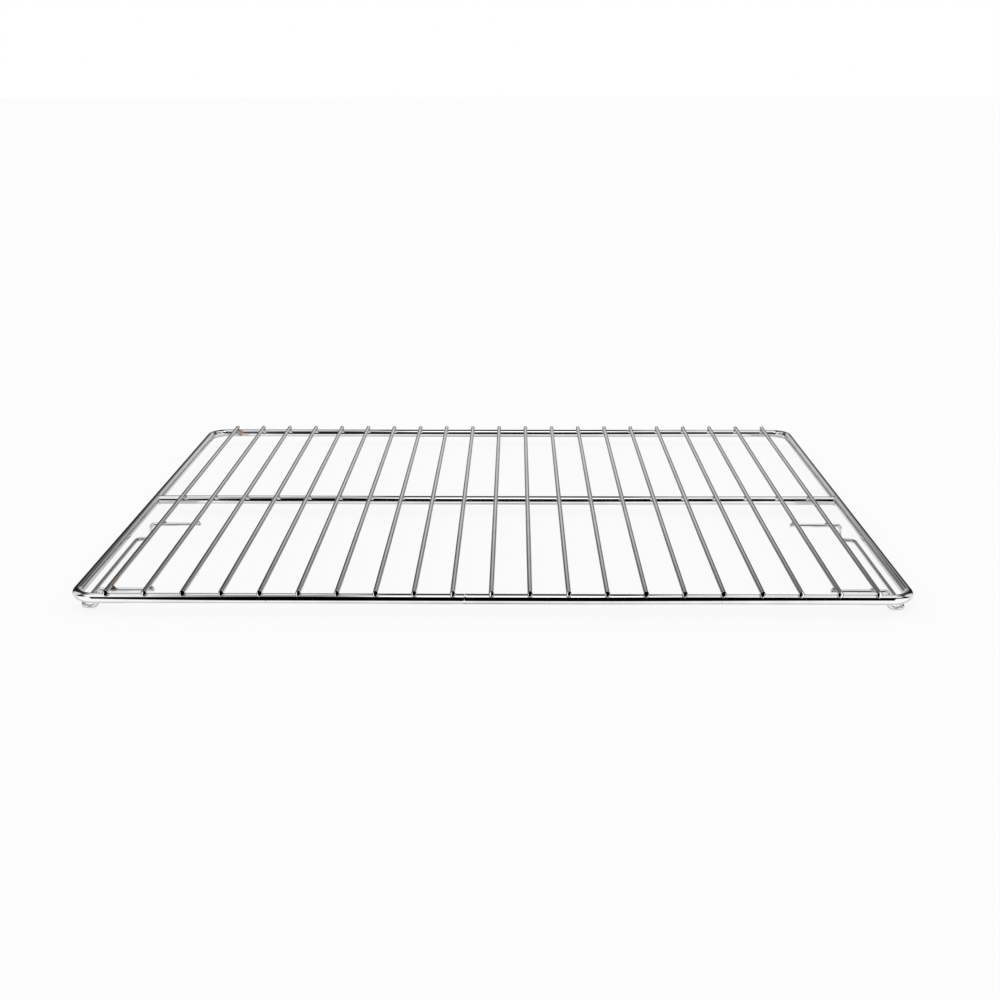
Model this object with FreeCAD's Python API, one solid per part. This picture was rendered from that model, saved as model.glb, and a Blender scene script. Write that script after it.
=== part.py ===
import FreeCAD, Part
import math
import os

# Wire shelf for an oven: a bent rod frame, a cross rail, a row of slats and two runner guides.
# Sizes are in millimetres. X is the width, Y goes from front to back and Z is up.
# The origin is under the middle of the frame, at the level of the guide wires' underside.

# Frame rod and cross rail
FRAME_WIDTH = 486.0  # outside to outside, left to right
FRAME_DEPTH = 388.0  # outside to outside, front to back
ROD_DIAMETER = 6.0
CORNER_RADIUS = 12.0  # bend radius of the rod's centre line
RAIL_WELD_SINK = 0.8  # how far the cross rail's ends are welded into the side rails

# Slats
SLAT_COUNT = 21
SLAT_DIAMETER = 3.0
SLAT_EDGE_INSET = 20.0  # side rail's centre line to the outermost slat's centre line
SLAT_FRONT_OVERHANG = 3.0  # slat's front end past the front rail's centre line
SLAT_REAR_OVERHANG = 2.2  # slat's rear end past the rear rail's centre line
SLAT_END_ROUND = 1.0
SLAT_WELD_SINK = 0.2  # how far each weld sinks a slat into the rail under it

# Guide wires
GUIDE_DIAMETER = 2.3
GUIDE_BEND_RADIUS = 4.0  # bend radius of the wire's centre line round the lower run's ends
GUIDE_KNEE_RADIUS = 2.4  # tighter bend where a leg turns down beside the outermost slat
GUIDE_LENGTH = 121.0  # front leg's centre line to rear leg's centre line
GUIDE_FRONT_SETBACK = 8.5  # front rail's centre line to the front leg's centre line
GUIDE_RUN_INSET = 2.2  # side rail's centre line to the lower run's centre line
GUIDE_STEP_STRAIGHT = 1.8  # straight wire between the two lower bends of a leg
GUIDE_TAIL = 3.2  # leg's end past the centre line of the second slat
GUIDE_END_ROUND = 0.5
GUIDE_WELD_SINK = 0.2  # how far each weld sinks a guide's leg into the slat above it
RUNNER_GAP = 4.25  # clear height between the side rail and the lower run, for the oven's runner

# A wire's end is rounded by no more than this share of its diameter
END_ROUND_LIMIT = 0.45

# Places that follow from the sizes above
half_width = (FRAME_WIDTH - ROD_DIAMETER) / 2
half_depth = (FRAME_DEPTH - ROD_DIAMETER) / 2
slat_pitch = 2 * (half_width - SLAT_EDGE_INSET) / (SLAT_COUNT - 1)
run_z = GUIDE_DIAMETER / 2
rail_z = GUIDE_DIAMETER + RUNNER_GAP + ROD_DIAMETER / 2
slat_z = rail_z + ROD_DIAMETER / 2 + SLAT_DIAMETER / 2 - SLAT_WELD_SINK
leg_z = slat_z - SLAT_DIAMETER / 2 - GUIDE_DIAMETER / 2 + GUIDE_WELD_SINK


def straight_run(start, end, diameter):
    """Round rod from start to end, with flat ends and its seam line at the side, clear of the welds."""
    along = end - start
    up = FreeCAD.Vector(0, 0, 1)
    rod = Part.makeCylinder(diameter / 2, along.Length)
    rod.Placement = FreeCAD.Placement(start, FreeCAD.Rotation(along.cross(up), up, along, "ZXY"))
    return rod


def bend(start, centre, heading, axis, angle, diameter):
    """Round rod that leaves start along heading and turns by angle about the axis through centre."""
    section = Part.Face(Part.Wire(Part.makeCircle(diameter / 2, start, heading)))
    return section.revolve(centre, axis, math.degrees(angle))


def bent_rod(corners, radii, diameter, closed=False):
    """Round rod along straight runs from corner to corner, with a tangent bend of its own radius at each."""
    count = len(corners)
    turns = range(count) if closed else range(1, count - 1)
    entry = list(corners)
    leave = list(corners)
    pieces = []
    for i in turns:
        heading = (corners[i] - corners[i - 1]).normalize()
        onward = (corners[(i + 1) % count] - corners[i]).normalize()
        angle = heading.getAngle(onward)
        setback = radii[i] * math.tan(angle / 2)
        entry[i] = corners[i] - heading * setback
        leave[i] = corners[i] + onward * setback
        axis = heading.cross(onward).normalize()
        centre = entry[i] + axis.cross(heading) * radii[i]
        pieces.append(bend(entry[i], centre, heading, axis, angle, diameter))
    for i in range(count if closed else count - 1):
        pieces.append(straight_run(leave[i], entry[(i + 1) % count], diameter))
    return pieces[0].multiFuse(pieces[1:]).removeSplitter().Solids[0]


def round_ends(wire, radius, diameter):
    """Round the rims of a wire's two flat ends, its only flat faces."""
    ends = [face for face in wire.Faces if isinstance(face.Surface, Part.Plane)]
    rims = [edge for face in ends for edge in face.Edges]
    return wire.makeFillet(min(radius, END_ROUND_LIMIT * diameter), rims)


def make_frame_rod():
    corners = [
        FreeCAD.Vector(-half_width, -half_depth, rail_z),
        FreeCAD.Vector(half_width, -half_depth, rail_z),
        FreeCAD.Vector(half_width, half_depth, rail_z),
        FreeCAD.Vector(-half_width, half_depth, rail_z),
    ]
    radii = [CORNER_RADIUS] * len(corners)
    return bent_rod(corners, radii, ROD_DIAMETER, closed=True)


def make_cross_rail(frame_rod):
    """Rail between the side rails at mid depth, its ends seated on the side rails' inner faces."""
    reach = half_width - ROD_DIAMETER / 2 + RAIL_WELD_SINK
    rail = straight_run(FreeCAD.Vector(-reach, 0, rail_z), FreeCAD.Vector(reach, 0, rail_z), ROD_DIAMETER)
    return rail.cut(frame_rod).Solids[0]


def make_slats(rails):
    """Straight wires with rounded ends, saddled onto the rails under them, in a row from left to right."""
    front = FreeCAD.Vector(0, -half_depth - SLAT_FRONT_OVERHANG, slat_z)
    rear = FreeCAD.Vector(0, half_depth + SLAT_REAR_OVERHANG, slat_z)
    wire = round_ends(straight_run(front, rear, SLAT_DIAMETER), SLAT_END_ROUND, SLAT_DIAMETER)
    slat = wire.cut(rails).Solids[0]
    first_x = -half_width + SLAT_EDGE_INSET
    return [slat.translated(FreeCAD.Vector(first_x + i * slat_pitch, 0, 0)) for i in range(SLAT_COUNT)]


def make_guide_wire(side, outer_slats):
    """Wire that hangs from the two outermost slats of a side (-1 left, 1 right) and runs under its rail."""
    tail_x = side * (half_width - SLAT_EDGE_INSET - slat_pitch - GUIDE_TAIL)
    run_x = side * (half_width - GUIDE_RUN_INSET)
    leg_x = run_x - side * (2 * GUIDE_BEND_RADIUS + GUIDE_STEP_STRAIGHT)
    front_y = -half_depth + GUIDE_FRONT_SETBACK
    rear_y = front_y + GUIDE_LENGTH
    corners = [
        FreeCAD.Vector(tail_x, front_y, leg_z),
        FreeCAD.Vector(leg_x, front_y, leg_z),
        FreeCAD.Vector(leg_x, front_y, run_z),
        FreeCAD.Vector(run_x, front_y, run_z),
        FreeCAD.Vector(run_x, rear_y, run_z),
        FreeCAD.Vector(leg_x, rear_y, run_z),
        FreeCAD.Vector(leg_x, rear_y, leg_z),
        FreeCAD.Vector(tail_x, rear_y, leg_z),
    ]
    leg_radii = [0, GUIDE_KNEE_RADIUS, GUIDE_BEND_RADIUS, GUIDE_BEND_RADIUS]
    wire = bent_rod(corners, leg_radii + leg_radii[::-1], GUIDE_DIAMETER)
    wire = round_ends(wire, GUIDE_END_ROUND, GUIDE_DIAMETER)
    return wire.cut(outer_slats).Solids[0]


def make_parts():
    """Every piece of the rack, by name."""
    frame_rod = make_frame_rod()
    cross_rail = make_cross_rail(frame_rod)
    slats = make_slats([frame_rod, cross_rail])
    parts = {"frame_rod": frame_rod, "cross_rail": cross_rail}
    for number, slat in enumerate(slats, 1):
        parts["slat_%02d" % number] = slat
    parts["left_guide_wire"] = make_guide_wire(-1, slats[:2])
    parts["right_guide_wire"] = make_guide_wire(1, slats[-2:])
    return parts


os.makedirs("parts", exist_ok=True)
for name, solid in make_parts().items():
    solid.exportStep("parts/%s.step" % name)
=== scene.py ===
import math
import random

import bmesh
import bpy
from mathutils import Matrix, Vector, noise


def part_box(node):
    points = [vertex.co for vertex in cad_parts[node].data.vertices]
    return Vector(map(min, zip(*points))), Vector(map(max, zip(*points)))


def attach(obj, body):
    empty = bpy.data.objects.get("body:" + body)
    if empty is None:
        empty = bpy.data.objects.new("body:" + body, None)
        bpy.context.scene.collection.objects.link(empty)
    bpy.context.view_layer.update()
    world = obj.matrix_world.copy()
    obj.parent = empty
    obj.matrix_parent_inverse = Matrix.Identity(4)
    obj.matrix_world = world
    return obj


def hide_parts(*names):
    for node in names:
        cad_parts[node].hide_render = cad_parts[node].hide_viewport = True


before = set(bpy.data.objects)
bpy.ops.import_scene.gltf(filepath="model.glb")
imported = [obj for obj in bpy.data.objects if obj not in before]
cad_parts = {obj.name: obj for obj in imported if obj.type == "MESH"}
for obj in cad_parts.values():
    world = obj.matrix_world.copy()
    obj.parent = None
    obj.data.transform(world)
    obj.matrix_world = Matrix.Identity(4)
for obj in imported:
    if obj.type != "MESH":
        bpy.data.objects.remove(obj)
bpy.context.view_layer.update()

# Wire shelf for an oven, dressed in chrome plate. Units are metres and degrees.
# X is the width, Y goes from front to back and Z is up, as in the frame.

# Wires
ROD_DIAMETER = 0.006
CORNER_RADIUS = 0.012
SLAT_DIAMETER = 0.003
GUIDE_DIAMETER = 0.0023
GUIDE_BEND_RADIUS = 0.004
GUIDE_KNEE_RADIUS = 0.0024
GUIDE_STEP_STRAIGHT = 0.0018
ROD_SIDES = 48
SLAT_SIDES = 32
GUIDE_SIDES = 28
BEND_STEPS = 20
RUN_STEP = 0.012  # spacing of the rings on a straight run
SAME_PLACE = 1e-6
LIMIT_SLACK = 1.01  # lets a limit take in the points that lie on it

# Ends of the wires
END_STEPS = 8
END_FULLNESS = 0.40  # 1 is an elliptic dome, less is flatter in the middle
END_SUPPORTS = (0.0002, 0.0006, 0.0015)  # rings behind an end, which keep the wire's shading straight
ROD_END_DOME = 0.0005
GUIDE_END_DOME = 0.0005
SLAT_END_DOME = 0.00015
SLAT_CUT_RIDGE = (0.0, -0.0012)  # a sheared front end has two faces, which meet this far from its middle
SLAT_CUT_LEFT = (4.0, 30.0)  # least and most that the left face turns away from the front
SLAT_CUT_RIGHT = 5.0
SLAT_CUT_VARIATION = 4.0
SLAT_CUT_TILT = 17.0  # how far both faces look up
SLAT_BURR = 0.18  # how far the sheared end is drawn down, as a share of the wire's diameter
SLAT_BURR_LENGTH = 0.0012

# Butt weld that closes the frame rod, on the front rail
SEAM_X = -0.0158
SEAM_WIDTH = 0.0007
SEAM_HEIGHT = 0.00009
SEAM_LEAN = 0.35
SEAM_RINGS = 9

# Welds, as half sizes along X, Y and Z
CROSSING_BEAD = Vector((0.0016, 0.0013, 0.0004))
FRONT_BEAD = Vector((0.0016, 0.0010, 0.0009))
FRONT_BEAD_SHIFT = Vector((0.0, -0.0011, 0.0))  # towards the slat's sheared end
GUIDE_BEAD = Vector((0.0013, 0.0010, 0.0010))
GUIDE_BEAD_ASIDE = 0.0013
GUIDE_BEAD_LIFT = 0.0002
GUIDE_BEAD_INNER = 1.15  # scale on the side that faces the middle of the rack
GUIDE_BEAD_OUTER = 0.75
BEAD_SCATTER = 0.0003
BEAD_LIFT = 0.0001
BEAD_UNEVENNESS = 0.22
BEAD_SPREAD = 0.25
BEAD_GRAIN = 900.0
BEAD_SUBDIVISIONS = 3
JOINT_BEAD_RADIUS = 0.0006
JOINT_WELD_SINK = 0.0008
JOINT_STEPS = 72
JOINT_SIDES = 14
RANDOM_SEED = 22166

# Stains at the first slat's welds, as offsets from the axes that cross there
FRONT_STAIN = Vector((0.0022, 0.0, -0.0010))
REAR_STAIN = Vector((0.0014, -0.0010, -0.0004))
REAR_DRIP = Vector((0.0030, -0.0026, 0.0018))
REAR_RUN = Vector((0.0026, -0.0031, -0.0010))

# Camera, from a fit to the photograph
CAMERA_PLACE = Vector((0.01337, -0.91079, 0.29052))
CAMERA_PITCH = 17.135
CAMERA_YAW = -0.663
CAMERA_ROLL = -0.095
CAMERA_LENS_MM = 48.66
CAMERA_SENSOR_MM = 36.0

rng = random.Random(RANDOM_SEED)


# Places from the frame

def centre(node):
    """Middle of a node's box."""
    low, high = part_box(node)
    return (Vector(low) + Vector(high)) / 2


slat_names = sorted(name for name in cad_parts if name.startswith("slat_"))
frame_low, frame_high = (Vector(corner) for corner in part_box("frame_rod"))
half_width = (frame_high.x - frame_low.x - ROD_DIAMETER) / 2
half_depth = (frame_high.y - frame_low.y - ROD_DIAMETER) / 2
rail_z = (frame_low.z + frame_high.z) / 2
slat_x = [centre(name).x for name in slat_names]
slat_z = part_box(slat_names[0])[1][2] - SLAT_DIAMETER / 2
slat_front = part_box(slat_names[0])[0][1]
slat_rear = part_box(slat_names[0])[1][1]
guide_low, guide_high = (Vector(corner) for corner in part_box("right_guide_wire"))
guide_run_x = guide_high.x - GUIDE_DIAMETER / 2
guide_leg_x = guide_run_x - 2 * GUIDE_BEND_RADIUS - GUIDE_STEP_STRAIGHT
guide_tail_x = guide_low.x
guide_front_y = guide_low.y + GUIDE_DIAMETER / 2
guide_rear_y = guide_high.y - GUIDE_DIAMETER / 2
guide_run_z = guide_low.z + GUIDE_DIAMETER / 2
guide_leg_z = guide_high.z - GUIDE_DIAMETER / 2
front_stain = Vector((slat_x[0], guide_front_y, slat_z)) + FRONT_STAIN
rear_stain = Vector((slat_x[0], half_depth, slat_z)) + REAR_STAIN
rear_drip = Vector((slat_x[0], half_depth, rail_z)) + REAR_DRIP
rear_run = Vector((slat_x[0], half_depth, rail_z)) + REAR_RUN


# Node trees

class Nodes:
    """Short calls that add nodes to one tree and link them."""

    def __init__(self, tree):
        self.tree = tree
        tree.nodes.clear()

    def add(self, kind, inputs=(), **settings):
        node = self.tree.nodes.new(kind)
        for name, value in settings.items():
            setattr(node, name, value)
        for key, value in dict(inputs).items():
            self.put(node.inputs[key], value)
        return node

    def put(self, socket, value):
        if isinstance(value, bpy.types.NodeSocket):
            self.tree.links.new(value, socket)
        else:
            socket.default_value = value

    def math(self, operation, *values):
        node = self.add("ShaderNodeMath", enumerate(values), operation=operation)
        return node.outputs[0]

    def joined(self, operation, values):
        """One operation from the first value on to the last."""
        result = values[0]
        for value in values[1:]:
            result = self.math(operation, result, value)
        return result

    def total(self, *values):
        return self.joined("ADD", values)

    def product(self, *values):
        return self.joined("MULTIPLY", values)

    def largest(self, *values):
        return self.joined("MAXIMUM", values)

    def ramp(self, value, start, end, low=0.0, high=1.0):
        """low before start, high after end, and a smooth step between them."""
        inputs = {"Value": value, "From Min": start, "From Max": end, "To Min": low, "To Max": high}
        node = self.add("ShaderNodeMapRange", inputs, interpolation_type="SMOOTHSTEP")
        return node.outputs[0]

    def band(self, value, start, end, soft):
        """1 between start and end, fading to 0 over soft on either side."""
        rise = self.ramp(value, start - soft, start + soft)
        fall = self.ramp(value, end - soft, end + soft, 1.0, 0.0)
        return self.product(rise, fall)

    def mix_color(self, share, first, second):
        """Colours mixed by share. The sockets for colours come after those for numbers and vectors."""
        node = self.add("ShaderNodeMix", {0: share, 6: first, 7: second}, data_type="RGBA")
        return node.outputs[2]

    def noise(self, place, scale, detail=2.0):
        inputs = {"Vector": place, "Scale": scale, "Detail": detail}
        return self.add("ShaderNodeTexNoise", inputs).outputs["Fac"]

    def surface(self, shader):
        self.add("ShaderNodeOutputMaterial", {"Surface": shader.outputs[0]})


# Materials

CHROME = (0.70, 0.705, 0.715, 1.0)
CHROME_DULL = (0.63, 0.63, 0.645, 1.0)
# Painted shade: the plate grows darker low down, towards the floor, behind the guides' front legs
CHROME_PAINTED_SHADE = (0.42, 0.425, 0.435, 1.0)  # the guides' runs
WELD_BLUE = (0.36, 0.37, 0.43, 1.0)
WELD_PALE = (0.62, 0.62, 0.63, 1.0)
RUST_DARK = (0.085, 0.045, 0.026, 1.0)
RUST_PALE = (0.36, 0.20, 0.09, 1.0)
HEAT_TINT = (0.52, 0.44, 0.34, 1.0)

# Plate. Scales are cells of noise per metre.
# A ramp is its start and end, and the values before and after them where these aren't 0 and 1.
DRAW_LINE_SCALE = (2600.0, 2600.0, 30.0)  # twice across a wire, and along it
HAZE_SCALE = 55.0
GRAIN_SCALE = 2400.0
PIT_SCALE = 620.0
BLOTCH_SCALE = 520.0
HAZE_DULLING = (0.35, 0.70)
HAZE_ROUGHNESS = (0.30, 0.75, 0.02, 0.05)
LINE_ROUGHNESS = (0.45, 0.75, 0.0, 0.03)
PITTING = (0.74, 0.80)
PIT_DARKNESS = 0.5
LINE_HEIGHT = 0.6
GRAIN_HEIGHT = 0.25
PLATE_BUMP = 0.03
PLATE_BUMP_DISTANCE = 0.00006
# Painted shade low down: its darkest share at the foot of the guides, and where it starts behind their
# front legs
LOW_SHADE_SHARE = 0.8
LOW_SHADE_START = (0.010, 0.030)  # behind the guides' front legs

# Stains on the plate
STAIN_CORE = 0.35  # share of its reach over which a stain is full
FRONT_REACH = 0.0030
REAR_REACH = 0.0032
DRIP_REACH = 0.0028
RUN_REACH = 0.0022
DARK_PATCHES = (0.30, 0.45)
RUST_PATCHES = (0.36, 0.50)
STAIN_ROUGHNESS = 0.62
STAIN_METAL_LOSS = 0.9
STAIN_HEIGHT = 6.0
TINT_HALF_WIDTH = 0.002
TINT_SIDE_FADE = 0.0003
TINT_RUN = (-0.001, 0.013)  # along the slat, from the guide's front leg
TINT_RUN_FADE = 0.003
TINT_PATCHES = (0.25, 0.60, 0.6, 1.0)
TINT_ROUGHNESS = 0.34

# Weld metal
LUMP_SCALE = 800.0
LUMP_GRAIN_SCALE = 3200.0
LUMP_TONES = (0.35, 0.65)
LUMP_ROUGHNESS = (0.3, 0.7, 0.16, 0.34)
LUMP_GRAIN_HEIGHT = 0.3
BEAD_FRONT_REACH = 0.0034
BEAD_REAR_REACH = 0.0050
BEAD_RUST_PATCHES = (0.38, 0.50)
BEAD_STAIN_ROUGHNESS = 0.35
BEAD_METAL_LOSS = 0.85
BEAD_BUMP = 0.25
BEAD_BUMP_DISTANCE = 0.0002


def new_material(name):
    """Empty material and its nodes."""
    material = bpy.data.materials.new(name)
    material.use_nodes = True
    return material, Nodes(material.node_tree)


def spot(nodes, place, middle, reach):
    """1 at the middle of a spot, fading to 0 at its reach."""
    away = nodes.add("ShaderNodeVectorMath", {0: place, 1: middle}, operation="DISTANCE")
    return nodes.ramp(away.outputs["Value"], STAIN_CORE * reach, reach, 1.0, 0.0)


def metal_surface(nodes, base, metal, rough, bump):
    """End a tree with a metal whose relief comes from a bump node."""
    inputs = {"Base Color": base, "Metallic": metal, "Roughness": rough, "Normal": bump.outputs[0]}
    nodes.surface(nodes.add("ShaderNodeBsdfPrincipled", inputs))


def plate_stains(nodes, place, along, blotch):
    """Shares of dark rust, pale rust and heat tint at the first slat's welds."""
    dark = nodes.product(spot(nodes, place, front_stain, FRONT_REACH), nodes.ramp(blotch, *DARK_PATCHES))
    spread = nodes.largest(
        spot(nodes, place, rear_stain, REAR_REACH),
        spot(nodes, place, rear_drip, DRIP_REACH),
        spot(nodes, place, rear_run, RUN_REACH))
    rust = nodes.product(spread, nodes.ramp(blotch, *RUST_PATCHES))
    sides = slat_x[0] - TINT_HALF_WIDTH, slat_x[0] + TINT_HALF_WIDTH
    near_slat = nodes.band(along.outputs["X"], *sides, TINT_SIDE_FADE)
    run = (guide_front_y + offset for offset in TINT_RUN)
    heated = nodes.band(along.outputs["Y"], *run, TINT_RUN_FADE)
    tint = nodes.product(near_slat, heated, nodes.ramp(blotch, *TINT_PATCHES))
    return dark, rust, tint


def chrome_material():
    """Bright plate with faint draw lines and haze, heat tint and rust at the first slat's welds, and
    painted shade low down behind the guides' front legs.
    """
    material, nodes = new_material("chrome_plate")
    place = nodes.add("ShaderNodeTexCoord").outputs["Object"]
    along = nodes.add("ShaderNodeSeparateXYZ", {0: place})
    wire = nodes.add("ShaderNodeAttribute", attribute_name="wire").outputs["Vector"]
    stretched = nodes.add("ShaderNodeVectorMath", {0: wire, 1: DRAW_LINE_SCALE}, operation="MULTIPLY")
    lines = nodes.noise(stretched.outputs[0], 1.0, 3.0)
    haze = nodes.noise(place, HAZE_SCALE, 3.0)
    grain = nodes.noise(place, GRAIN_SCALE)
    pits = nodes.ramp(nodes.noise(place, PIT_SCALE, 1.0), *PITTING)
    blotch = nodes.noise(place, BLOTCH_SCALE, 3.0)
    dark, rust, tint = plate_stains(nodes, place, along, blotch)
    stained = nodes.largest(dark, rust)

    base = nodes.mix_color(nodes.ramp(haze, *HAZE_DULLING), CHROME, CHROME_DULL)
    # Painted shade: darker low down, from the guides' runs up to the rails' middle, behind the guides'
    # front legs
    low = nodes.ramp(along.outputs["Z"], GUIDE_DIAMETER, rail_z, LOW_SHADE_SHARE, 0.0)
    behind = nodes.ramp(along.outputs["Y"], *(guide_front_y + offset for offset in LOW_SHADE_START))
    base = nodes.mix_color(nodes.product(low, behind), base, CHROME_PAINTED_SHADE)
    base = nodes.mix_color(tint, base, HEAT_TINT)
    base = nodes.mix_color(rust, base, RUST_PALE)
    base = nodes.mix_color(nodes.largest(dark, nodes.product(pits, PIT_DARKNESS)), base, RUST_DARK)

    smooth = nodes.total(nodes.ramp(haze, *HAZE_ROUGHNESS), nodes.ramp(lines, *LINE_ROUGHNESS))
    rough = nodes.largest(
        smooth, nodes.product(stained, STAIN_ROUGHNESS), nodes.product(tint, TINT_ROUGHNESS))
    metal = nodes.math("SUBTRACT", 1.0, nodes.product(stained, STAIN_METAL_LOSS))
    height = nodes.total(
        nodes.product(lines, LINE_HEIGHT), nodes.product(grain, GRAIN_HEIGHT),
        nodes.product(stained, blotch, STAIN_HEIGHT))
    bump = nodes.add(
        "ShaderNodeBump", {"Height": height, "Strength": PLATE_BUMP, "Distance": PLATE_BUMP_DISTANCE})
    metal_surface(nodes, base, metal, rough, bump)
    return material


def bead_material():
    """Plated weld metal: lumpy, and bluish grey in its hollows."""
    material, nodes = new_material("weld_bead")
    place = nodes.add("ShaderNodeTexCoord").outputs["Object"]
    lumps = nodes.noise(place, LUMP_SCALE, 3.0)
    fine = nodes.noise(place, LUMP_GRAIN_SCALE)
    dark = spot(nodes, place, front_stain, BEAD_FRONT_REACH)
    near_rear = spot(nodes, place, rear_stain, BEAD_REAR_REACH)
    rust = nodes.product(near_rear, nodes.ramp(lumps, *BEAD_RUST_PATCHES))
    stained = nodes.largest(dark, rust)

    base = nodes.mix_color(nodes.ramp(lumps, *LUMP_TONES), WELD_BLUE, WELD_PALE)
    base = nodes.mix_color(rust, base, RUST_PALE)
    base = nodes.mix_color(dark, base, RUST_DARK)
    rough = nodes.total(nodes.ramp(lumps, *LUMP_ROUGHNESS), nodes.product(stained, BEAD_STAIN_ROUGHNESS))
    metal = nodes.math("SUBTRACT", 1.0, nodes.product(stained, BEAD_METAL_LOSS))
    height = nodes.total(lumps, nodes.product(fine, LUMP_GRAIN_HEIGHT))
    bump = nodes.add(
        "ShaderNodeBump", {"Height": height, "Strength": BEAD_BUMP, "Distance": BEAD_BUMP_DISTANCE})
    metal_surface(nodes, base, metal, rough, bump)
    return material


# Rods

def straight_points(start, end, step=RUN_STEP):
    """Points from start up to, but not at, end."""
    count = max(1, round((end - start).length / step))
    return [start.lerp(end, i / count) for i in range(count)]


def bent_path(corners, radii, closed=False):
    """Points along straight runs from corner to corner, with a tangent arc of its own radius at each."""
    count = len(corners)
    turns = range(count) if closed else range(1, count - 1)
    arcs = {i: [corners[i]] for i in range(count)}
    for i in turns:
        heading = (corners[i] - corners[i - 1]).normalized()
        onward = (corners[(i + 1) % count] - corners[i]).normalized()
        angle = heading.angle(onward)
        axis = heading.cross(onward).normalized()
        entry = corners[i] - heading * radii[i] * math.tan(angle / 2)
        middle = entry + axis.cross(heading) * radii[i]
        arcs[i] = []
        for k in range(BEND_STEPS + 1):
            turn = Matrix.Rotation(angle * k / BEND_STEPS, 3, axis)
            arcs[i].append(middle + turn @ (entry - middle))
    points = []
    for i in range(count):
        points += arcs[i]
        if closed or i < count - 1:
            points += straight_points(arcs[i][-1], arcs[(i + 1) % count][0])[1:]
    return points


def domed_end(tip, inward, radius, dome):
    """Rings (centre, radius) from the tip of a wire inwards, up to its full radius."""
    rings = []
    for k in range(END_STEPS + 1):
        angle = math.pi / 2 * k / END_STEPS
        middle = tip + inward * dome * (1 - math.cos(angle))
        rings.append((middle, radius * math.sin(angle) ** END_FULLNESS))
    rings += [(tip + inward * (dome + step), radius) for step in END_SUPPORTS]
    return rings


def rod_rings(points, radius, dome):
    """Rings along an open path with domed ends."""
    heading = (points[1] - points[0]).normalized()
    ending = (points[-2] - points[-1]).normalized()
    first = domed_end(points[0], heading, radius, dome)
    last = domed_end(points[-1], ending, radius, dome)
    inner = [(point, radius) for point in points[1:-1]]
    return first + inner + last[::-1]


def ring_frames(centres, closed):
    """(side, up) for each ring, carried along the path without twist."""
    count = len(centres)
    tangents = []
    for i in range(count):
        before = centres[i - 1] if closed or i > 0 else centres[i]
        after = centres[(i + 1) % count] if closed or i < count - 1 else centres[i]
        tangents.append((after - before).normalized())
    up = Vector((0, 0, 1)) if abs(tangents[0].z) < 0.9 else Vector((0, 1, 0))
    side = tangents[0].cross(up).normalized()
    frames = []
    for i in range(count):
        if i > 0:
            side = tangents[i - 1].rotation_difference(tangents[i]) @ side
        frames.append((side, side.cross(tangents[i]).normalized()))
    return frames


def rod_object(name, rings, sides, closed=False):
    """Round rod through rings of (centre, radius). A ring of no radius is one point."""
    centres = [middle for middle, _ in rings]
    frames = ring_frames(centres, closed)
    mesh = bmesh.new()
    wire = mesh.verts.layers.float_vector.new("wire")
    loops = []
    travelled = 0.0
    for i, (middle, radius) in enumerate(rings):
        travelled += (middle - centres[i - 1]).length if i > 0 else 0.0
        side, up = frames[i]
        loop = []
        for k in range(sides if radius > 0 else 1):
            angle = 2 * math.pi * k / sides
            across = side * math.cos(angle) + up * math.sin(angle)
            vertex = mesh.verts.new(middle + across * radius)
            vertex[wire] = (radius * math.cos(angle), radius * math.sin(angle), travelled)
            loop.append(vertex)
        loops.append(loop)
    pairs = list(zip(loops, loops[1:]))
    if closed:
        pairs.append((loops[-1], loops[0]))
    for first, second in pairs:
        for k in range(sides):
            corners = [first[k % len(first)], first[(k + 1) % len(first)],
                       second[(k + 1) % len(second)], second[k % len(second)]]
            mesh.faces.new(list(dict.fromkeys(corners)))
    return finished_object(name, mesh)


def straight_rod(name, start, end, diameter, dome, sides):
    """Straight round rod with domed ends."""
    points = straight_points(start, end) + [end]
    return rod_object(name, rod_rings(points, diameter / 2, dome), sides)


def finished_object(name, mesh):
    """Smooth object in the scene, made from a mesh in the works."""
    bmesh.ops.recalc_face_normals(mesh, faces=mesh.faces)
    for face in mesh.faces:
        face.smooth = True
    data = bpy.data.meshes.new(name)
    mesh.to_mesh(data)
    mesh.free()
    piece = bpy.data.objects.new(name, data)
    bpy.context.scene.collection.objects.link(piece)
    return piece


def dress(piece, material, *nodes):
    """Give a piece its finish and its place in the frame."""
    piece.data.materials.append(material)
    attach(piece, "root")
    if nodes:
        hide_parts(*nodes)


def on_front_rail(point):
    """Whether a point of the frame rod's path lies on its front run."""
    return abs(point.y + half_depth) < SAME_PLACE


def seam_rings():
    """Rings of the butt weld, which swell to its full height in the middle."""
    rings = []
    for k in range(SEAM_RINGS):
        offset = 2 * k / (SEAM_RINGS - 1) - 1
        rise = SEAM_HEIGHT * math.cos(offset * math.pi / 2) ** 2
        middle = Vector((SEAM_X + offset * SEAM_WIDTH, -half_depth, rail_z))
        rings.append((middle, ROD_DIAMETER / 2 + rise))
    return rings


def make_frame_rod(material):
    """Bent rod frame, with the raised line of the butt weld on its front rail."""
    signs = ((-1, -1), (1, -1), (1, 1), (-1, 1))
    corners = [Vector((x * half_width, y * half_depth, rail_z)) for x, y in signs]
    points = bent_path(corners, [CORNER_RADIUS] * len(corners), closed=True)
    clear = [p for p in points if not on_front_rail(p) or abs(p.x - SEAM_X) >= 2 * SEAM_WIDTH]
    before = max(i for i, p in enumerate(clear) if on_front_rail(p) and p.x < SEAM_X)
    rings = [(point, ROD_DIAMETER / 2) for point in clear]
    rings[before + 1:before + 1] = seam_rings()
    piece = rod_object("frame_rod_plated", rings, ROD_SIDES, closed=True)
    for vertex in piece.data.vertices:
        in_seam = abs(vertex.co.x - SEAM_X) < LIMIT_SLACK * SEAM_WIDTH
        if in_seam and vertex.co.y < -half_depth + ROD_DIAMETER:
            vertex.co.x += SEAM_LEAN * (vertex.co.z - rail_z)
    dress(piece, material, "frame_rod")


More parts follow.
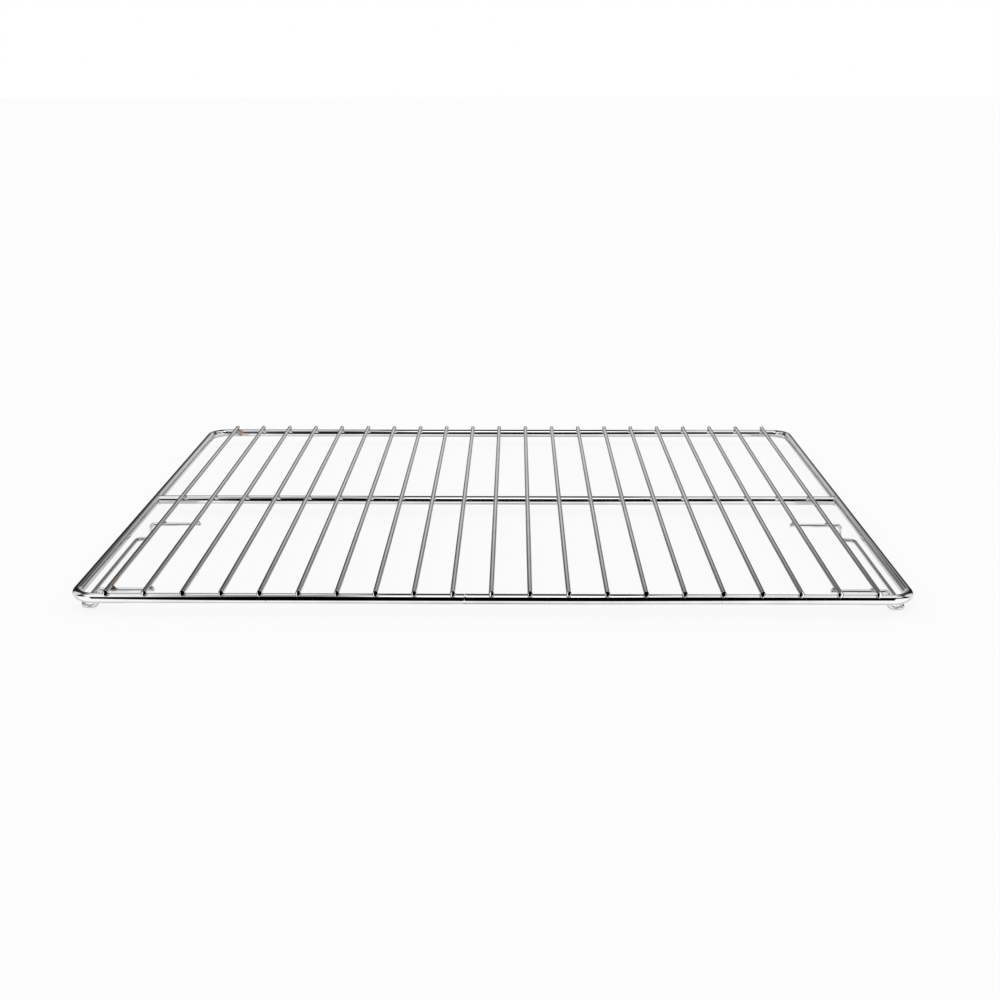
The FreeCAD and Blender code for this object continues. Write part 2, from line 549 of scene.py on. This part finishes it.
def make_cross_rail(material):
    """Straight rail between the side rails, with its ends inside their welds."""
    reach = half_width - ROD_DIAMETER / 2 + JOINT_WELD_SINK
    ends = Vector((-reach, 0, rail_z)), Vector((reach, 0, rail_z))
    piece = straight_rod("cross_rail_plated", *ends, ROD_DIAMETER, ROD_END_DOME, ROD_SIDES)
    dress(piece, material, "cross_rail")


def make_slat(name, x, material):
    """Straight wire whose front end is sheared off a little askew."""
    ends = Vector((x, slat_front, slat_z)), Vector((x, slat_rear, slat_z))
    piece = straight_rod(name + "_plated", *ends, SLAT_DIAMETER, SLAT_END_DOME, SLAT_SIDES)
    variation = rng.uniform(-SLAT_CUT_VARIATION, SLAT_CUT_VARIATION)
    left_slope = math.tan(math.radians(rng.uniform(*SLAT_CUT_LEFT)))
    right_slope = math.tan(math.radians(SLAT_CUT_RIGHT + variation))
    tilt = math.tan(math.radians(SLAT_CUT_TILT))
    ridge = x + rng.uniform(*SLAT_CUT_RIDGE)
    slat_top = slat_z + SLAT_DIAMETER / 2
    burr_foot = slat_top - SLAT_DIAMETER * (1 + SLAT_BURR)
    for vertex in piece.data.vertices:
        swell = SLAT_BURR * max(0.0, 1 - (vertex.co.y - slat_front) / SLAT_BURR_LENGTH)
        vertex.co.z -= swell * (slat_top - vertex.co.z)
        if vertex.co.y < slat_front + LIMIT_SLACK * SLAT_END_DOME:
            across = vertex.co.x - ridge
            vertex.co.y += right_slope * across if across > 0 else -left_slope * across
            vertex.co.y += tilt * (vertex.co.z - burr_foot)
    dress(piece, material, name)


def make_guide_wire(name, side, material):
    """Wire that hangs from the two outermost slats of a side and runs under its side rail."""
    leg = ((guide_tail_x, guide_leg_z), (guide_leg_x, guide_leg_z),
           (guide_leg_x, guide_run_z), (guide_run_x, guide_run_z))
    leg_radii = [0, GUIDE_KNEE_RADIUS, GUIDE_BEND_RADIUS, GUIDE_BEND_RADIUS]
    corners = [Vector((side * x, guide_front_y, z)) for x, z in leg]
    corners += [Vector((side * x, guide_rear_y, z)) for x, z in leg[::-1]]
    points = bent_path(corners, leg_radii + leg_radii[::-1])
    rings = rod_rings(points, GUIDE_DIAMETER / 2, GUIDE_END_DOME)
    dress(rod_object(name + "_plated", rings, GUIDE_SIDES), material, name)


# Welds

def add_bead(mesh, middle, half_size):
    """Lump of weld metal, uneven in size and outline."""
    size = half_size * rng.uniform(1 - BEAD_SPREAD, 1 + BEAD_SPREAD)
    ball = bmesh.ops.create_icosphere(mesh, subdivisions=BEAD_SUBDIVISIONS, radius=1.0)
    for vertex in ball["verts"]:
        from_middle = vertex.co * size
        lump = noise.noise((middle + from_middle) * BEAD_GRAIN)
        vertex.co = middle + from_middle * (1 + BEAD_UNEVENNESS * lump)


def make_crossing_beads(name, rail_y, half_size, forward, material):
    """Weld metal pressed out between a rail and each slat on it."""
    mesh = bmesh.new()
    for x in slat_x:
        scatter = [rng.uniform(-BEAD_SCATTER, BEAD_SCATTER) for _ in range(2)]
        shift = Vector((*scatter, BEAD_LIFT))
        add_bead(mesh, Vector((x, rail_y, slat_z - SLAT_DIAMETER / 2)) + forward + shift, half_size)
    dress(finished_object(name, mesh), material)


def make_guide_beads(name, side, material):
    """Weld metal beside each slat that a guide wire's legs hang from."""
    mesh = bmesh.new()
    carried = slat_x[:2] if side < 0 else slat_x[-2:]
    height = slat_z - SLAT_DIAMETER / 2 + GUIDE_BEAD_LIFT
    for leg_y in (guide_front_y, guide_rear_y):
        for x in carried:
            for flank in (-1, 1):
                place = Vector((x + flank * GUIDE_BEAD_ASIDE, leg_y, height))
                scale = GUIDE_BEAD_INNER if flank * side < 0 else GUIDE_BEAD_OUTER
                add_bead(mesh, place, GUIDE_BEAD * scale)
    dress(finished_object(name, mesh), material)


def make_joint_bead(name, side, material):
    """Weld round one end of the cross rail, in the corner that it makes with the side rail."""
    radius = ROD_DIAMETER / 2
    reach = half_width - radius + JOINT_WELD_SINK
    rings = []
    for k in range(JOINT_STEPS):
        angle = 2 * math.pi * k / JOINT_STEPS
        x = min(half_width - radius * abs(math.cos(angle)), reach)
        middle = Vector((side * x, radius * math.cos(angle), rail_z + radius * math.sin(angle)))
        swell = 1 + BEAD_UNEVENNESS * noise.noise(middle * BEAD_GRAIN)
        rings.append((middle, JOINT_BEAD_RADIUS * swell))
    dress(rod_object(name, rings, JOINT_SIDES, closed=True), material)


def make_rack():
    """All wires and welds. The order of the calls is the order of the random draws."""
    chrome = chrome_material()
    bead = bead_material()
    make_frame_rod(chrome)
    make_cross_rail(chrome)
    for name, x in zip(slat_names, slat_x):
        make_slat(name, x, chrome)
    for name, side in (("left_guide_wire", -1), ("right_guide_wire", 1)):
        make_guide_wire(name, side, chrome)
    make_crossing_beads("front_rail_weld_beads", -half_depth, FRONT_BEAD, FRONT_BEAD_SHIFT, bead)
    make_crossing_beads("middle_rail_weld_beads", 0.0, CROSSING_BEAD, Vector(), bead)
    make_crossing_beads("rear_rail_weld_beads", half_depth, CROSSING_BEAD, Vector(), bead)
    for name, side in (("left", -1), ("right", 1)):
        make_guide_beads(name + "_guide_weld_beads", side, bead)
        make_joint_bead(name + "_cross_rail_weld_bead", side, chrome)


# Studio

FLOOR_SIZE = 60.0
FLOOR_WHITE = (0.98, 0.98, 0.98, 1.0)
FLOOR_PALE = (0.975, 0.975, 0.975, 1.0)
FLOOR_MOTTLE_SCALE = 3.0
FLOOR_GLOW = 0.85  # share of the floor's white that doesn't depend on light, so that its shadow is faint
STRIP_WIDTH = 0.027
STRIP_LIFT = 0.0002
STRIP_MOTTLE_SCALE = 6.0
STRIP_LEVEL = (0.3, 0.7, 0.72, 0.84)
AMBIENT = 0.90  # world strength for light that scatters, with the lamp adding the rest
WHITE = (1.0, 1.0, 1.0, 1.0)
LAMP_STRENGTH = 0.34
LAMP_SPREAD = 50.0
LAMP_PLACE = Vector((-0.5, -0.7, 1.8))


def seen_directly(nodes):
    """1 for what the camera sees, straight or by way of metal or glass."""
    ray = nodes.add("ShaderNodeLightPath").outputs
    return nodes.largest(ray["Is Camera Ray"], ray["Is Glossy Ray"], ray["Is Transmission Ray"])


def show_only_in_mirrors(item):
    """Keep a part of the studio from all rays but mirrored ones."""
    item.visible_camera = False
    item.visible_diffuse = False
    item.visible_shadow = False
    item.visible_transmission = False


def make_floor():
    """Plain pale floor that keeps the rack's soft shadow."""
    material, nodes = new_material("floor_white")
    place = nodes.add("ShaderNodeTexCoord").outputs["Object"]
    tone = nodes.mix_color(nodes.noise(place, FLOOR_MOTTLE_SCALE), FLOOR_WHITE, FLOOR_PALE)
    shaded = nodes.add("ShaderNodeBsdfDiffuse", {"Color": tone})
    white = nodes.add("ShaderNodeEmission", {"Color": tone})
    share = nodes.product(seen_directly(nodes), FLOOR_GLOW)
    nodes.surface(nodes.add("ShaderNodeMixShader", {0: share, 1: shaded.outputs[0], 2: white.outputs[0]}))
    bpy.ops.mesh.primitive_plane_add(size=FLOOR_SIZE)
    floor = bpy.context.object
    floor.name = "floor"
    floor.data.materials.append(material)
    floor.visible_glossy = False


def make_floor_strips():
    """Lit floor between each side rail and the first slat, which only the plating mirrors."""
    material, nodes = new_material("floor_strip")
    place = nodes.add("ShaderNodeTexCoord").outputs["Object"]
    tone = nodes.ramp(nodes.noise(place, STRIP_MOTTLE_SCALE), *STRIP_LEVEL)
    nodes.surface(nodes.add("ShaderNodeEmission", {"Strength": tone}))
    inner = half_width - STRIP_WIDTH
    outline = ((inner, -half_depth), (half_width, -half_depth),
               (half_width, half_depth), (inner, half_depth))
    for name, side in (("left", -1), ("right", 1)):
        mesh = bmesh.new()
        mesh.faces.new([mesh.verts.new((side * x, y, STRIP_LIFT)) for x, y in outline])
        strip = finished_object(name + "_floor_strip", mesh)
        strip.data.materials.append(material)
        show_only_in_mirrors(strip)


def make_world():
    """White all round, a little dimmer for the light that falls on the floor."""
    world = bpy.data.worlds.new("studio")
    world.use_nodes = True
    bpy.context.scene.world = world
    nodes = Nodes(world.node_tree)
    strength = nodes.ramp(seen_directly(nodes), 0.0, 1.0, AMBIENT, 1.0)
    white = nodes.add("ShaderNodeBackground", {"Color": WHITE, "Strength": strength})
    nodes.add("ShaderNodeOutputWorld", {"Surface": white.outputs[0]})


def make_lamp():
    """Large soft lamp from the upper left, for the shadow."""
    data = bpy.data.lights.new("soft_lamp", "SUN")
    data.energy = LAMP_STRENGTH
    data.angle = math.radians(LAMP_SPREAD)
    lamp = bpy.data.objects.new("soft_lamp", data)
    lamp.location = LAMP_PLACE
    lamp.rotation_euler = (-LAMP_PLACE).to_track_quat("-Z", "Y").to_euler()
    lamp.visible_glossy = False
    bpy.context.scene.collection.objects.link(lamp)


def make_camera():
    """Camera at the photograph's viewing angle."""
    pitch, yaw, roll = (math.radians(a) for a in (CAMERA_PITCH, CAMERA_YAW, CAMERA_ROLL))
    forward = Vector((math.sin(yaw) * math.cos(pitch), math.cos(yaw) * math.cos(pitch), -math.sin(pitch)))
    right = Vector((math.cos(yaw), -math.sin(yaw), 0))
    up = right.cross(forward)
    turned_right = right * math.cos(roll) + up * math.sin(roll)
    turned_up = up * math.cos(roll) - right * math.sin(roll)
    data = bpy.data.cameras.new("camera")
    data.lens = CAMERA_LENS_MM
    data.sensor_width = CAMERA_SENSOR_MM
    camera = bpy.data.objects.new("camera", data)
    columns = Matrix((turned_right, turned_up, -forward)).transposed().to_4x4()
    camera.matrix_world = Matrix.Translation(CAMERA_PLACE) @ columns
    bpy.context.scene.collection.objects.link(camera)
    bpy.context.scene.camera = camera


# Dome that the plating mirrors. Ramps are as for the plate, and bands are a start, an end and a soft edge.
# They go by share of the radius along X, or by one of the angles that DomeView names.

DOME_RADIUS = 1.85
DOME_SUBDIVISIONS = 5
FRONT_HALF = (-0.1, 0.1)

# White floor in front, whose edge rises to both sides
FLOOR_EDGE = (-31.5, -20.5, 1.0, 0.0)
FLOOR_LIFT_RIGHT = (0.05, 0.36, 0.0, 30.0)
FLOOR_LIFT_LEFT = (-0.42, -0.25, 28.0, 0.0)
FLOOR_END_RIGHT = (0.38, 0.52, 0.0, 36.0)
FLOOR_END_LEFT = (-0.54, -0.40, 36.0, 0.0)
FLOOR_LEVEL = (-65.0, -50.0, 0.9, 1.34)

# Floor behind, in the rack's shade at its middle
BACK_FLOOR_EDGE = (-21.0, -9.0, 1.0, 0.0)
BACK_FLOOR_LIFT_RIGHT = (12.0, 28.0, 0.0, 15.5)
BACK_FLOOR_LIFT_LEFT = (-28.0, -12.0, 7.8, 0.0)
BACK_FLOOR_LEVEL = (5.0, 22.0, 0.22, 1.08)

# Pale patch of wall behind, which goes dark to both sides and above
WALL_LEVEL = 0.79
WALL_MIDDLE = 1.2
WALL_SIDES = (0.0, 26.5, 1.0, 0.03)
WALL_FOOT = (0.0, 8.0, 0.51, 1.0)
WALL_TOP = (7.0, 25.0, 24.0, 57.0)  # higher to the right
WALL_TOP_FADE = (-5.0, 5.0, 1.0, 0.03)

# Two dim patches beside it, which the side rails mirror near the front
LEFT_PATCH_LEVEL = 0.165
LEFT_PATCH_WIDTH = (-25.5, -2.0, 5.0)
LEFT_PATCH_HEIGHT = (21.5, 45.0, 3.0)
RIGHT_PATCH_LEVEL = 0.38
RIGHT_PATCH_WIDTH = (21.0, 26.5, 2.5)
RIGHT_PATCH_HEIGHT = (19.0, 30.0, 2.0)

# Softbox above the front, dimmer on its left, whose lower edge steps up to the right
BOX_LEVEL = 2.05
BOX_EDGE_FADE = (-2.0, 2.0)
BOX_EDGE_LEFT = (-0.36, -0.20, 40.0, 58.0)
BOX_EDGE_MIDDLE = (-0.20, -0.05, 0.0, -5.0)
BOX_EDGE_RIGHT = (0.05, 0.20, 0.0, 10.6)
BOX_TOP = (86.7, 91.7, 1.0, 0.0)
BOX_DIM_LEFT = (-0.20, -0.08, 0.2, 1.0)
BOX_FAR_LEFT = (-0.39, -0.26, 0.65, 0.2)
BOX_DIM_RIGHT = (0.08, 0.20, 1.0, 0.69)
BOX_ENDS = (0.6, 0.8, 1.0, 0.0)

# Two more softboxes above the sides, and a wall on either side
TOP_BOX_DEPTH = (93.0, 134.0, 5.0)
TOP_BOX_START = (0.12, 0.18)
TOP_BOX_LEVEL = (0.19, 0.25, 0.86, 1.19)
TOP_BOX_END = (0.42, 0.55, 1.0, 0.05)
SIDE_WALL_WIDTH = (62.0, 93.0, 6.0)
SIDE_WALL_HEIGHT = (-12.0, 42.0, 5.0)

# Faint light over the rest of the back
DIM_FOOT = (-1.0, 1.0)
DIM_LEVEL = (-0.3, 0.3, 0.023, 0.0)


class DomeView:
    """Where a point of the dome lies, as seen from the origin."""

    def __init__(self, nodes):
        place = nodes.add("ShaderNodeNewGeometry").outputs["Position"]
        direction = nodes.add("ShaderNodeVectorMath", {0: place}, operation="NORMALIZE")
        self.x, y, z = nodes.add("ShaderNodeSeparateXYZ", {0: direction.outputs[0]}).outputs
        self.aside = nodes.math("ABSOLUTE", self.x)
        self.toward_front = nodes.math("MULTIPLY", y, -1.0)
        # Angles: over the top from the front horizon, above the horizon, and to the right from the back
        self.climb = nodes.math("DEGREES", nodes.math("ARCTAN2", z, self.toward_front))
        self.rise = nodes.math("DEGREES", nodes.math("ARCSINE", z))
        self.rightward = nodes.math("DEGREES", nodes.math("ARCTAN2", self.x, y))
        self.turn = nodes.math("ABSOLUTE", self.rightward)
        self.front_half = nodes.ramp(self.toward_front, *FRONT_HALF)
        self.back_half = nodes.math("SUBTRACT", 1.0, self.front_half)


def front_floor(nodes, view):
    """White floor in front, up to its edge."""
    lift = nodes.total(
        nodes.largest(nodes.ramp(view.x, *FLOOR_LIFT_RIGHT), nodes.ramp(view.x, *FLOOR_LIFT_LEFT)),
        nodes.largest(nodes.ramp(view.x, *FLOOR_END_RIGHT), nodes.ramp(view.x, *FLOOR_END_LEFT)))
    edge = nodes.ramp(nodes.math("SUBTRACT", view.climb, lift), *FLOOR_EDGE)
    return nodes.product(view.front_half, edge, nodes.ramp(view.climb, *FLOOR_LEVEL))


def back_floor(nodes, view):
    """Floor behind, up to its edge."""
    lift = nodes.largest(
        nodes.ramp(view.rightward, *BACK_FLOOR_LIFT_RIGHT),
        nodes.ramp(view.rightward, *BACK_FLOOR_LIFT_LEFT))
    edge = nodes.ramp(nodes.math("SUBTRACT", view.rise, lift), *BACK_FLOOR_EDGE)
    return nodes.product(view.back_half, edge, nodes.ramp(view.turn, *BACK_FLOOR_LEVEL))


def back_wall(nodes, view):
    """Pale patch of wall behind."""
    from_middle = nodes.math("ABSOLUTE", nodes.math("SUBTRACT", view.rightward, WALL_MIDDLE))
    over_top = nodes.math("SUBTRACT", view.rise, nodes.ramp(view.rightward, *WALL_TOP))
    return nodes.product(
        view.back_half, nodes.ramp(from_middle, *WALL_SIDES), nodes.ramp(view.rise, *WALL_FOOT),
        nodes.ramp(over_top, *WALL_TOP_FADE), WALL_LEVEL)


def left_patch(nodes, view):
    """Dim patch to the left of the wall."""
    width = nodes.band(view.rightward, *LEFT_PATCH_WIDTH)
    return nodes.product(width, nodes.band(view.rise, *LEFT_PATCH_HEIGHT), LEFT_PATCH_LEVEL)


def right_patch(nodes, view):
    """Dim patch to the right of the wall."""
    width = nodes.band(view.rightward, *RIGHT_PATCH_WIDTH)
    return nodes.product(width, nodes.band(view.rise, *RIGHT_PATCH_HEIGHT), RIGHT_PATCH_LEVEL)


def front_box(nodes, view):
    """Softbox above the front."""
    steps = (BOX_EDGE_LEFT, BOX_EDGE_MIDDLE, BOX_EDGE_RIGHT)
    edge = nodes.total(*(nodes.ramp(view.x, *step) for step in steps))
    above_edge = nodes.ramp(nodes.math("SUBTRACT", view.climb, edge), *BOX_EDGE_FADE)
    left = nodes.largest(nodes.ramp(view.x, *BOX_DIM_LEFT), nodes.ramp(view.x, *BOX_FAR_LEFT))
    return nodes.product(
        above_edge, nodes.ramp(view.climb, *BOX_TOP), left, nodes.ramp(view.x, *BOX_DIM_RIGHT),
        nodes.ramp(view.aside, *BOX_ENDS), BOX_LEVEL)


def top_boxes(nodes, view):
    """Softboxes above the sides."""
    steps = (nodes.ramp(view.aside, *step) for step in (TOP_BOX_START, TOP_BOX_LEVEL, TOP_BOX_END))
    return nodes.product(nodes.band(view.climb, *TOP_BOX_DEPTH), *steps)


def side_walls(nodes, view):
    """Walls to the left and right."""
    return nodes.product(nodes.band(view.turn, *SIDE_WALL_WIDTH), nodes.band(view.rise, *SIDE_WALL_HEIGHT))


def dim_back(nodes, view):
    """Faint light over the rest of the back."""
    return nodes.product(nodes.ramp(view.rise, *DIM_FOOT), nodes.ramp(view.toward_front, *DIM_LEVEL))


def make_dome():
    """What the plating mirrors: white floor below, softboxes above and dark gaps between them."""
    material, nodes = new_material("studio_dome")
    view = DomeView(nodes)
    parts = (front_floor, back_floor, back_wall, left_patch, right_patch,
             front_box, top_boxes, side_walls, dim_back)
    level = nodes.largest(*(part(nodes, view) for part in parts))
    nodes.surface(nodes.add("ShaderNodeEmission", {"Strength": level}))
    mesh = bmesh.new()
    bmesh.ops.create_icosphere(mesh, subdivisions=DOME_SUBDIVISIONS, radius=DOME_RADIUS)
    dome = finished_object("studio_dome", mesh)
    dome.data.materials.append(material)
    show_only_in_mirrors(dome)


make_rack()
make_floor()
make_dome()
make_floor_strips()
make_world()
make_lamp()
make_camera()
bpy.context.scene.view_settings.view_transform = "Standard"
